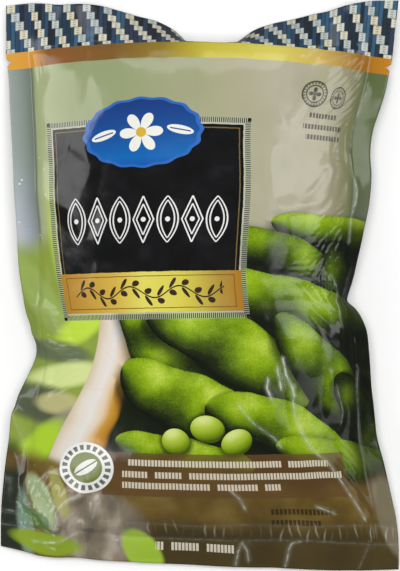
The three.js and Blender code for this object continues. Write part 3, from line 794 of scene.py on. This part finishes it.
def ground(f):
    """The plain ground: sage at the left and warm grey at the right, darkening towards the right edge. Over
    the side seals the colour is painted light and shade: the left seal pale silver-grey, partly its own
    colour and partly a painted reflection, paler further down and with painted shade where it meets the
    body; the right seal painted darker, as shade. The left seal has a few pale specks."""
    across, down = f.across, f.down
    tint = f.ramp((across + 90) / 180, (0, "A2AC7E"), (0.07, "A0AA7E"), (0.15, "8E976E"), (0.3, "8D966E"),
                  (0.58, "A09E80"), (0.75, "AEA894"), (0.88, "A6A188"), (0.96, "7E7C5C"), (1, "6A704C"))
    f.picture = f.mix(f.rise(f.noise(f.place, 0.035, 2), 0.35, 0.7, 0, 0.25), tint, "8A9066")
    lower = f.rise(down, 70, 150)
    # Painted reflection and shade: the left seal silver-grey, paler at its edge and further down, darker
    # next to the body.
    left = f.mix(lower, f.ramp((across + RIM) / 14, (0, "8D9891"), (0.45, "7C877F"), (1, "5C6652")),
                 f.ramp((across + RIM) / 14, (0, "BCC1CC"), (0.45, "9CA1AE"), (1, "666C64")))
    f.paint(f.rise(across, -86.5, -89.5), left)
    # Painted shade: the right seal in darker olive and grey.
    right = f.mix(lower, f.ramp((across - 88) / 14, (0, "535F34"), (1, "5C6744")),
                  f.ramp((across - 88) / 14, (0, "4C503E"), (1, "6E7066")))
    f.paint(f.rise(across, 87, 91), right)
    specks = f.node("TexVoronoi", (), {"Vector": f.place, "Scale": 0.15, "Randomness": 1.0})
    f.paint((specks < 0.075) * f.rise(across, -74, -88) * 0.8, "E8EAEA")


def soft_leaf(f, middle, angle, size, tint, share, blur=0.6):
    """A leaf out of focus: an ellipse whose edge is a slow fade."""
    s, t = f.local(middle, angle, size)
    reach = f.math("MULTIPLY_ADD", t, t, s * s)
    f.paint(f.rise(reach, 1 + blur, 1 - blur, 0, share), tint)


LIGHT = (-0.30, -0.72, 0.62)  # towards the picture's light: across, down and out of the film
POD_TONES = ((0, "0F1408"), (0.2, "1E270C"), (0.38, "3E520C"), (0.54, "64820A"), (0.7, "88A616"),
             (0.84, "AAC03E"), (1, "D0DC8C"))
BEAN_TONES = ((0, "3E5208"), (0.35, "75900E"), (0.7, "A6BA3C"), (1, "DCE49A"))


def turned_light(angle):
    """The light's direction along and over something that is turned by an angle."""
    c, s = math.cos(math.radians(angle)), math.sin(math.radians(angle))
    return LIGHT[0] * c + LIGHT[1] * s, LIGHT[1] * c - LIGHT[0] * s


def painted_pod(f, fuzz, middle, angle, length, width, bend, lift):
    """One pod over the picture. Along it s runs from -1 to 1 and its half-width is w = (1 - s^2)^0.45
    with two swellings, cos(8 s). Across it q = t / w, and its roundness sqrt(1 - q^2) takes the light,
    which is strongest along its upper edge."""
    s, t = f.local(middle, angle, (length / 2, width / 2))
    square = s * s
    t = t + bend * square - bend * 0.4 + fuzz * 0.1
    swell = s * 8
    w = (1 - square | 0) ** 0.45 * (f.math("COSINE", swell) * 0.045 + 0.955) + 0.001
    along, over = turned_light(angle)
    shadow = f.rise(abs(t + 0.35 * over) / (w + 0.25), 1.2, 0.6, 0, 0.85) * f.rise(abs(s), 1.12, 0.9)
    f.paint(shadow, "12170A")
    q = t / w
    round_off = (1 - q * q | 0) ** 0.5
    shade = round_off * LIGHT[2] + q * over - f.math("SINE", swell) * round_off * (0.3 * along)
    shade = shade * 0.7 + fuzz * 0.75 + (0.075 + lift)
    f.paint(q * q < 1, f.ramp(shade, *POD_TONES))


def painted_bean(f, fuzz, middle, angle, size):
    """A shelled bean: an ellipse whose roundness takes the light."""
    s, t = f.local(middle, angle, size)
    far = s * s + t * t
    along, over = turned_light(angle)
    f.paint(f.rise(far, 1.9, 0.9, 0, 0.75), "10160A")
    shade = (1 - far | 0) ** 0.5 * LIGHT[2] + s * along + t * over
    f.paint(far < 1, f.ramp(shade * 0.7 + fuzz * 0.3 + 0.2, *BEAN_TONES))


BACK_LEAVES = (  # middle, angle, size, tint, share
    ((-70, 136), 84, (42, 10), "AEC64A", 0.85),
    ((-90, 160), 60, (30, 8), "93A85C", 0.7),
    ((-62, 172), -28, (26, 8), "B8D444", 0.95),
    ((-86, 189), 8, (26, 6), "566050", 0.8),
    ((-76, 202), -6, (24, 7), "CAD68E", 0.95),
    ((-88, 219), 16, (26, 10), "474C40", 0.9),
    ((-77, 218), 4, (14, 6), "B4B07A", 0.9),
    ((-62, 228), -10, (16, 9), "8C8678", 0.8),
    ((-84, 244), -50, (20, 9), "A3C52E", 0.95),
    ((-98, 262), 84, (20, 8), "252B20", 0.9),
)
FRONT_LEAVES = (  # the same, and the width of the edge's fade
    ((-88, 288), 84, (20, 5), "7E9A86", 0.75, 0.6),
    ((-78, 272), 60, (15, 6), "A2B486", 0.85, 0.4),
    ((-68, 268), 70, (14, 4), "A9A860", 0.8, 0.5),
    ((-80, 284), 30, (11, 5), "55803E", 0.7, 0.5),
    ((-76, 298), 4, (20, 6), "839A28", 0.95, 0.4),
    ((-26, 299), 62, (14, 8), "9ABB38", 0.9, 0.3),
    ((100, 278), 80, (20, 8), "776F5A", 0.8, 0.3),
)
PODS = (  # middle, angle, length, width, bend, lift: the furthest first
    ((90, 126), 4, 100, 22, 0.30, 0.0),
    ((52, 142), 20, 84, 26, -0.2, -0.12),
    ((92, 170), 70, 84, 30, 0.20, -0.16),
    ((56, 166), 14, 104, 33, 0.25, -0.04),
    ((-20, 184), 62, 66, 30, 0.35, 0.02),
    ((18, 190), 32, 96, 36, -0.25, 0.06),
    ((72, 204), 44, 88, 32, 0.30, 0.02),
    ((-2, 216), 22, 84, 34, 0.30, 0.06),
    ((94, 232), 62, 70, 26, -0.30, -0.12),
    ((44, 232), 24, 84, 30, -0.25, 0.06),
    ((-6, 246), 12, 68, 26, 0.25, 0.0),
    ((80, 250), 12, 84, 28, 0.25, 0.0),
)
BEANS = (((6, 230), 20, (8.5, 7)), ((20, 237), -35, (8, 6.5)), ((-9, 237), 60, (7.5, 6.5)))
BOARD_HALF_WIDTH = 15


def food_picture(f):
    """A heap of pods and a few shelled beans beside a straight-edged board, with leaves out of focus
    behind them and before them, a brown table below, painted shade along the right flank, and a lower-left
    corner painted as crumpled film, in mottled painted light and shade with facets of painted light."""
    across, down = f.across, f.down
    fuzz = f.noise(f.place, 0.9, 4, 0.8) * 0.6 + f.noise(f.place, 0.12, 2) * 0.4 - 0.5
    edge = down + f.noise(f.place, 0.025, 1) * 24
    backdrop = f.mix(f.rise(across + down * 0.4, 30, 46), "84963E", "1B2012")
    f.paint(f.rise(edge, 132, 150), backdrop)
    for leaf in BACK_LEAVES:
        soft_leaf(f, *leaf)
    s, t = f.local((-48, 208), 107, (1, 1))
    board = f.rise(abs(t), BOARD_HALF_WIDTH, BOARD_HALF_WIDTH - 1) * f.rise(abs(s), 50, 46)
    grain = f.noise(f.place, 0.05, 1) * 0.3 - 0.15
    wood = f.ramp((t + BOARD_HALF_WIDTH) / (2 * BOARD_HALF_WIDTH) + grain,
                  (0.02, "2A2A1A"), (0.1, "A87620"), (0.24, "BE8E3A"),
                  (0.4, "D6C2A4"), (0.58, "D8D4CE"), (0.8, "D6CCBE"), (1, "C6B496"))
    f.paint(board, wood)
    for pod in PODS:
        painted_pod(f, fuzz, *pod)
    for bean in BEANS:
        painted_bean(f, fuzz, *bean)
    # Painted shade: the picture darkened towards the right flank, near the right seal.
    f.paint(f.rise(across, 74, 90, 0, 0.85) * f.rise(down + across * 0.1, 122, 136), "0A0E04")
    table = f.ramp(f.noise(f.place, 0.05, 3), (0.3, "52401C"), (0.5, "624F22"), (0.7, "766132"))
    f.paint(f.rise(edge - across * 0.06, 262, 272), table)
    f.paint(f.rise(down, 276, 288, 0, 0.8) * f.rise(across, -40, -20), "3A321C")
    # The crumpled lower-left corner is painted light and shade: a mottled grey-brown patch, with flat
    # Voronoi facets of painted light mixed into its value.
    stretched = f.node("Mapping", (), {"Vector": f.place, "Scale": (1, 0.5, 1)})
    cells = f.node("TexVoronoi", (), {"Vector": stretched, "Scale": 0.15}, 1)
    crumple_light_and_shade = f.ramp(f.noise(stretched, 0.09, 4), (0.3, "3C3834"), (0.45, "5E564A"), (0.55, "7C7262"),
                     (0.68, "A0978A"))
    s, t = f.local((-50, 286), 8, (26, 22))
    f.paint(f.rise(s * s + t * t, 1.3, 0.65, 0, 0.9), f.mix(0.12, crumple_light_and_shade, cells, "VALUE"))
    f.paint(f.rise(across, -84, -94) * f.rise(down, 250, 262), "262C20")
    for leaf in FRONT_LEAVES:
        soft_leaf(f, *leaf)


def greeked(f, left, right, top, height, pitch=1.6):
    """A line of dashes that stands for small print: short bars, with gaps between their groups."""
    word = f.chance((f.across / (pitch * 2)).whole(), top) > 0.15
    stroke = (f.across % pitch) < pitch * 0.72
    return f.between(f.across, left, right) * f.between(f.down, top, top + height) * word * stroke


DARK, WHITE = "1D1E18", "E0E0DA"
PANEL = ((-25.3, 119), (53.8, 53))  # middle and half-size
STRIP = (147, 168.3)  # its top and foot


def panel(f):
    """The dark panel: a border of short ticks, a near-black field with a thin gold line round it, and a
    gold strip across its foot with a leafy vine on it."""
    across, down = f.across, f.down
    u, v = across - PANEL[0][0], down - PANEL[0][1]
    side, end = abs(u) - PANEL[1][0], abs(v) - PANEL[1][1]
    inset = 0 - (side | end)
    rough = f.noise(f.place, 0.35, 1) * 0.5 - 0.25
    upright = side > end
    run = upright * v + (1 - upright) * u
    tick = ((run + rough) % 1.02) < 0.56
    f.paint(f.between(inset + rough, 0, 3) * 0.55, "B9BDA6")
    f.paint(f.between(inset + rough * 0.6, 0.1, 2.9) * tick * 0.92, DARK)
    f.paint(((0 - side | 0 - end) < 1.9) * (inset > 0), DARK)
    f.paint(f.line(inset + rough * 0.6, 3.4, 0.9) * 0.75, "B4B6A6")
    field = f.ramp(f.noise(f.place, 0.06, 3), (0.35, "0D0D0D"), (0.6, "131314"), (0.75, "1E1E20"))
    f.paint(inset + rough > 3.8, field)
    f.paint(f.line(inset + rough, 5.7, 0.55) * 0.85, "7A653C")
    gold = f.ramp((u + 50) / 100, (0, "A87C2C"), (0.12, "B48A38"), (0.35, "C6A644"), (0.5, "D2C95A"),
                  (0.7, "C8BC46"), (0.9, "A08432"), (1, "A07020"))
    f.paint(f.between(down + rough, *STRIP) * (inset > 2.6), gold)
    middle = sum(STRIP) / 2
    frame_line = abs(u) - 47.5 | abs(down - middle) - 8.4
    f.paint(f.line(frame_line + rough, 0, 0.5) * 0.85, "6E4A1C")
    wave = down - middle - f.math("SINE", across * (math.tau / 26)) * 3
    vine = f.line(wave, 0, 0.8) * (abs(u) < 42)
    x = (across % 6.5) - 3.25
    y = abs(wave) - 2.6
    leaf = (x - y * 0.6) ** 2 / 2.2 + y * y / 4 < 1
    f.paint(vine | leaf * (abs(u) < 41), "33271C")


LOZENGE_PITCH, LOZENGE_START, LOZENGE_MIDDLE, LOZENGE_HALF_HEIGHT = 12.4, -68.6, 119.8, 12.2


def lozenges(f):
    """Seven motifs in a row, each drawn twice as a thin white line: pods and lozenges by turns."""
    run = f.across - LOZENGE_START
    x = abs(run % LOZENGE_PITCH - LOZENGE_PITCH / 2)
    y = abs(f.down - LOZENGE_MIDDLE) / LOZENGE_HALF_HEIGHT
    odd = (run / LOZENGE_PITCH).whole() % 2
    width = ((1 - y * y) * (1 - odd) + (1 - y) * odd) * 5.3
    drawn = f.line(x, width, 0.8) | f.line(x, width - 1.8, 0.75) * (width > 1.8)
    drawn = drawn | (x * x + (y * LOZENGE_HALF_HEIGHT) ** 2 < 1.6)
    f.paint(drawn * (y < 1) * f.between(run, 0, 7 * LOZENGE_PITCH), "DADAD6")


def plaque(f):
    """A plain blue oval with a paler scalloped rim, and a white six-petalled blossom between two pods on
    it."""
    middle, tilt = (-25.7, 74), -3.5
    u, v = f.local(middle, tilt, (30.5, 18.5))
    reach, turn = f.polar(u, v)
    scallop = 1 + f.math("COSINE", turn * 16) * 0.02
    f.paint(reach < scallop, "2B62AC")
    blue = f.ramp(v * 0.5 + 0.5, (0, "1B3470"), (0.5, "174A8E"), (0.85, "1060A8"), (1, "1C4C9C"))
    f.paint(reach < scallop * 0.93, blue)
    x, y = f.local(middle, tilt, (1, 1))
    bloom, turn = f.polar(x, y)
    petal = abs(f.math("COSINE", turn * 3)) ** 0.6 * 9.5 + 1.5
    f.paint(bloom < petal, "DEDED4")
    f.paint(bloom < 2.6, "C9A438")
    far = abs(x) - 19.5
    slope = y - far * 0.25
    f.paint(far * far / 42 + slope * slope / 5.5 < 1, "DEDED4")
    f.paint(f.line(slope, 0, 0.7) * (abs(far) < 5), "1B4690")


INK, PAPER = "26261C", "D2C8B2"
BAR = ((-45, 76), (243.4, 266.8))  # its sides, and its top and foot
RINGS = (((60, 50.3), (7.3, 7.3)), ((74, 51), (4.5, 6.2)))  # middle and half-size
RING_LINES = ((59, 76, 60.6), (56, 80, 66.8), (58, 79, 72.4))  # left, right, top
BAR_LINES = ((-35, 66, 247), (-35, 73.5, 253.4), (-35, 40, 259.3))
DATE_LINES = ((33, 65, 272.6), (33, 62, 278.4))


def small_marks(f):
    """The small print: two plain rings with ticks and lines of dashes at the top right, a brown bar with
    three lines of dashes, a white ring round a leaf, and dashes above and on the foot seal."""
    for middle, size in RINGS:
        reach, turn = f.polar(*f.local(middle, 0, size))
        ring = f.line(reach, 0.94, 0.13) | f.line(reach, 0.64, 0.1)
        ticks = f.between(reach, 0.73, 0.88) * (f.math("SINE", turn * 22) > 0)
        star = reach < abs(f.math("COSINE", turn * 2)) * 0.42 + 0.08
        f.paint((ring | ticks * 0.8 | star) * 0.85, INK)
    for left, right, top in RING_LINES:
        f.paint(greeked(f, left, right, top, 2.7, 1.9) * 0.85, INK)
    f.paint(f.between(f.across, *BAR[0]) * f.between(f.down, *BAR[1]) * 0.78, "5E4424")
    for left, right, top in BAR_LINES:
        f.paint(greeked(f, left, right, top, 3.4) * 0.92, PAPER)
    u, v = f.local((-53.8, 252.7), 0, (14.6, 13.8))
    reach, turn = f.polar(u, v)
    f.paint(reach < 1, WHITE)
    f.paint(reach < 0.6, "6E7A38")
    f.paint(f.line(reach, 0.8, 0.2) * (f.math("SINE", turn * 20) > -0.2) * 0.85, INK)
    along, over = u * 0.8 - v * 0.6, u * 0.6 + v * 0.8
    leaf = along * along / 0.24 + over * over / 0.05 < 1
    f.paint(leaf, WHITE)
    f.paint(leaf * f.line(over, 0, 0.05), "55622A")
    for left, right, top in DATE_LINES:
        f.paint(greeked(f, left, right, top, 3, 2.1) * 0.7, "17140A")
    f.paint(greeked(f, -20, 15.5, 292.9, 4.3) * 0.9, "CFC6B4")


PLEAT_PITCH = 4.4


def pleat_glints(f):
    """Short pale lines of painted highlight, for the glints where the film gathers above the foot seal: one
    leans and bends by chance in most columns as wide as the pleats' pitch."""
    column = (f.across / PLEAT_PITCH).whole()
    first, second = f.chance(column, 3), f.chance(column, 8)
    height = f.down - 285 + (first - 0.5) * 4
    lean = height * (first - 0.5) * 0.6 + abs(height) * (second - 0.5) * 0.5
    off = abs((f.across % PLEAT_PITCH) - PLEAT_PITCH / 2 - (second - 0.5) - lean)
    luck = f.rise(second, 0.15, 1, 0.05, 0.6)
    share = f.rise(off, 0.8, 0) * f.rise(abs(height), 5, 0) * luck * f.rise(f.across, -70, 30, 0.3, 1)
    # Painted highlight: the glints of the pleats.
    f.paint(share * 0.85, "B9B8A4")


BAND = (HEADER / mm, 34.2)  # its top and foot


def gold_band(f):
    """The gold band under the header, orange at its ends and yellow in the middle; the browner stretches on
    its left and near its right end are painted shade.
    """
    # Painted shade: the brown stops darken the band on its left and near its right end.
    tint = f.ramp((f.across + RIM) / (2 * RIM), (0, "CE963E"), (0.07, "CC8F36"), (0.12, "84542A"),
                  (0.3, "765428"), (0.42, "8A7426"), (0.52, "BDB03A"), (0.68, "CCC258"), (0.8, "C2A658"),
                  (0.91, "96661C"), (1, "B27614"))
    f.paint(f.between(f.down, *BAND), tint)


STRAND, STEP, STEPS = 2.2, 4.6, 5  # a strand's width, a block's step down, and steps until they repeat
GAP = "0C1118"


def weave(f):
    """The header's printed twill: upright strands, dark but for pale blocks that are two strands wide,
    each one strand further right than the last and a step lower. A row of short ticks goes down each
    block."""
    strand = f.across / STRAND
    column = strand.whole()
    row = (f.down - column * STEP) / (STEP * STEPS)
    run = row.whole()
    part = (row % 1) * STEPS
    step = part.whole()
    aside = abs(strand % 1 - step)
    pale = f.ramp(f.chance(column + step, run), (0, "CEC6A8"), (0.3, "D8D4BE"), (0.6, "C0C6BE"),
                  (1, "A8B2B2"))
    pale = f.mix((aside < 0.34) * ((f.down % 1.2) < 0.5) * 0.6, pale, "3C444A")
    pale = f.mix((f.rise(aside, 0.8, 1) | f.rise(abs(part % 1 - 0.5), 0.42, 0.5)) * 0.7, pale, GAP)
    dark = f.ramp(f.chance(column, run + 7), (0, "0B0F18"), (0.25, "12202F"), (0.45, "1A3E58"),
                  (0.62, "345F7C"), (0.75, "22425E"), (0.88, "2A3048"), (1, "102624"))
    dark = f.mix(f.rise(abs(strand % 1 - 0.5), 0.3, 0.5, 0, 0.8), dark, GAP)
    tint = f.mix(part < 2, dark, pale)
    f.paint(f.down < HEADER / mm, f.mix(f.noise(f.place, 1.2, 3) * 0.24, tint, "5A646C"))


def film_surface(f):
    """Laminate film is glossy, faintly crinkled, scuffed a little duller here and there, and painted with
    pale lines of highlight along its sharpest folds, which stand in for their glints."""
    # Painted highlight: pale lines along the creases, by their white mark, stand in for the glints of the
    # folds.
    beside, white = (f.node("Attribute", {"attribute_name": n}, (), 2) for n in ("beside", "white"))
    broken = f.noise(f.place, 0.3, 3)
    width = f.rise(broken, 0.38, 0.66, 0.15, 0.8)
    share = f.rise(abs(beside), width, 0) * f.rise(broken, 0.34, 0.55, 0.3, 1)
    share = (share * 0.8 + f.rise(abs(beside), 2.6, 0, 0, 0.34)) * white
    f.paint(f.math("MINIMUM", share, 0.8), "C4C8BA")
    crinkle = f.noise(f.place, 0.1, 2, 0.4)
    f.set(Base_Color=f.picture, IOR=1.5)
    f.set(Roughness=f.rise(f.noise(f.place, 0.12, 3), 0.35, 0.75, 0.12, 0.22))
    f.set(Normal=f.node("Bump", (), {"Strength": 0.14, "Distance": 0.001, "Height": crinkle}))


def printed(web, name, layers):
    """Puts a new material on a web, with its layers laid one over the other."""
    f = film_finish(name)
    for layer in layers:
        layer(f)
    web.data.materials.append(f.material)


FRONT_LAYERS = (
    ground, food_picture, panel, lozenges, plaque, small_marks, pleat_glints, gold_band, weave, film_surface)
front_web = web_piece("front_web", 1, front_sheet, front_across, down, {"beside": beside, "white": white})
printed(front_web, "front_print", FRONT_LAYERS)
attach(front_web, "root")
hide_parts("film_front")

# ---- The back web and its print ----
# The same laminate. It carries the header, the band and the ground on from the front, and a plain
# cream table for the small print where the front has its picture.


def back_table(f):
    """The foot's brown, and a cream table of lines of dashes in two columns, with a green line round it
    and between them."""
    across, down = f.across, f.down
    f.paint(f.rise(down, 262, 284), "63522A")
    sheet = abs(across) - 74 | abs(down - 150) - 92
    f.paint(sheet < 0, "D8D2B6")
    f.paint(f.line(sheet, -3, 0.6), "5A6A30")
    line_row = (down % 8) < 2.6
    word = f.chance((across / 3.6).whole(), (down / 8).whole()) > 0.18
    stroke = (across % 1.8) < 1.2
    f.paint(line_row * word * stroke * (sheet < -9) * (abs(across) > 4) * 0.8, "3A3A2A")
    f.paint(f.line(across, 0, 0.5) * (sheet < -9), "5A6A30")


back_web = web_piece("back_web", -1, back_sheet, back_across, down)
printed(back_web, "back_print", (ground, back_table, gold_band, weave, film_surface))
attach(back_web, "root")
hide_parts("film_back")

# ---- The pods ----
# Frozen soybean pods, loose in the pouch: each of the imported solids with its swellings rounded, a
# matt green skin with fine hairs, and patches of frost.

# The skin is paler and bluer where frost lies on it, with short hairs as a fine bump.
skin = Finish("pod_skin")
solid_place = skin.node("TexCoord", gives=3)
skin_tone = skin.noise(solid_place, 60, 3)
frost = skin.rise(skin.noise(solid_place, 220, 4, 0.7), 0.5, 0.72, 0, 0.55)
green = skin.ramp(skin_tone, (0.3, "4B6B1C"), (0.5, "66892A"), (0.7, "86A544"))
hairs = skin.noise(solid_place, 1400, 2)
skin.set(Base_Color=skin.mix(frost, green, "C9D3C2"), Roughness=frost * 0.3 + 0.5)
skin.set(Normal=skin.node("Bump", (), {"Strength": 0.4, "Distance": 0.0003, "Height": hairs}))

for name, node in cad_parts.items():
    if name.startswith("pods"):
        rounded = node.data.copy()
        work = bmesh.new()
        work.from_mesh(rounded)
        bmesh.ops.remove_doubles(work, verts=work.verts, dist=0.001 * mm)
        work.to_mesh(rounded)
        work.free()
        rounded.polygons.foreach_set("use_smooth", np.ones(len(rounded.polygons), bool))
        rounded.materials.clear()
        rounded.materials.append(skin.material)
        pod = placed(name.replace("pods", "frozen_pods"), rounded)
        finer = pod.modifiers.new("rounded", "SUBSURF")
        finer.levels = finer.render_levels = 1
        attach(pod, "root")
        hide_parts(name)

# ---- Floor, lights and camera ----
# A plain pale studio floor, an overhead fill that the film doesn't reflect, and five soft lights low
# around the pouch, whose reflections run along the flanks and catch the creases. The camera looks
# straight down.

LIGHTS = (  # name, place, size and power
    ("overhead_fill", (0, 0.15, 1.9), (1.4, 1.4), 32),
    ("left_softbox", (-1.19, 0.56, 0.63), (0.85, 0.6), 4.5),
    ("right_softbox", (1.18, 0.3, 0.8), (0.52, 0.95), 3.9),
    ("low_right_softbox", (1.15, -0.42, 0.83), (0.5, 0.7), 1.1),
    ("top_softbox", (0, 1.3, 0.7), (1.2, 0.4), 3),
    ("corner_softbox", (-0.85, -0.95, 0.8), (0.5, 0.5), 3),
)
for name, place, size, power in LIGHTS:
    light = bpy.data.lights.new(name, "AREA")
    light.shape, light.size, light.size_y = "RECTANGLE", *size
    light.energy = power
    lamp = placed(name, light)
    lamp.location = place
    lamp.rotation_euler = (-Vector(place)).to_track_quat("-Z", "Y").to_euler()
    lamp.visible_glossy = name != "overhead_fill"

world = bpy.data.worlds.new("studio")
world.use_nodes = True
world.node_tree.nodes["Background"].inputs["Color"].default_value = (0.9, 0.94, 1, 1)
world.node_tree.nodes["Background"].inputs["Strength"].default_value = 0.12
bpy.context.scene.world = world
bpy.context.scene.view_settings.view_transform = "Standard"

floor_mesh = bpy.data.meshes.new("floor")
floor_mesh.from_pydata([(-3, -3, 0), (3, -3, 0), (3, 3, 0), (-3, 3, 0)], [], [(0, 1, 2, 3)])
floor = placed("floor", floor_mesh)
paper = Finish("floor")
paper.set(Base_Color=(0.92, 0.92, 0.91, 1), Roughness=0.9)
floor_mesh.materials.append(paper.material)
floor.visible_glossy = False

CAMERA_HEIGHT, SEAM_HEIGHT, VIEW_HALF = 1.5, 6 * mm, 145.6 * mm  # half of what is seen at the seam
SENSOR = 36
camera_data = bpy.data.cameras.new("camera")
camera_data.sensor_width = SENSOR
camera_data.lens = SENSOR / 2 * (CAMERA_HEIGHT - SEAM_HEIGHT) / VIEW_HALF
camera = placed("camera", camera_data)
camera.location = (0.0001, 0.0007, CAMERA_HEIGHT)
bpy.context.scene.camera = camera
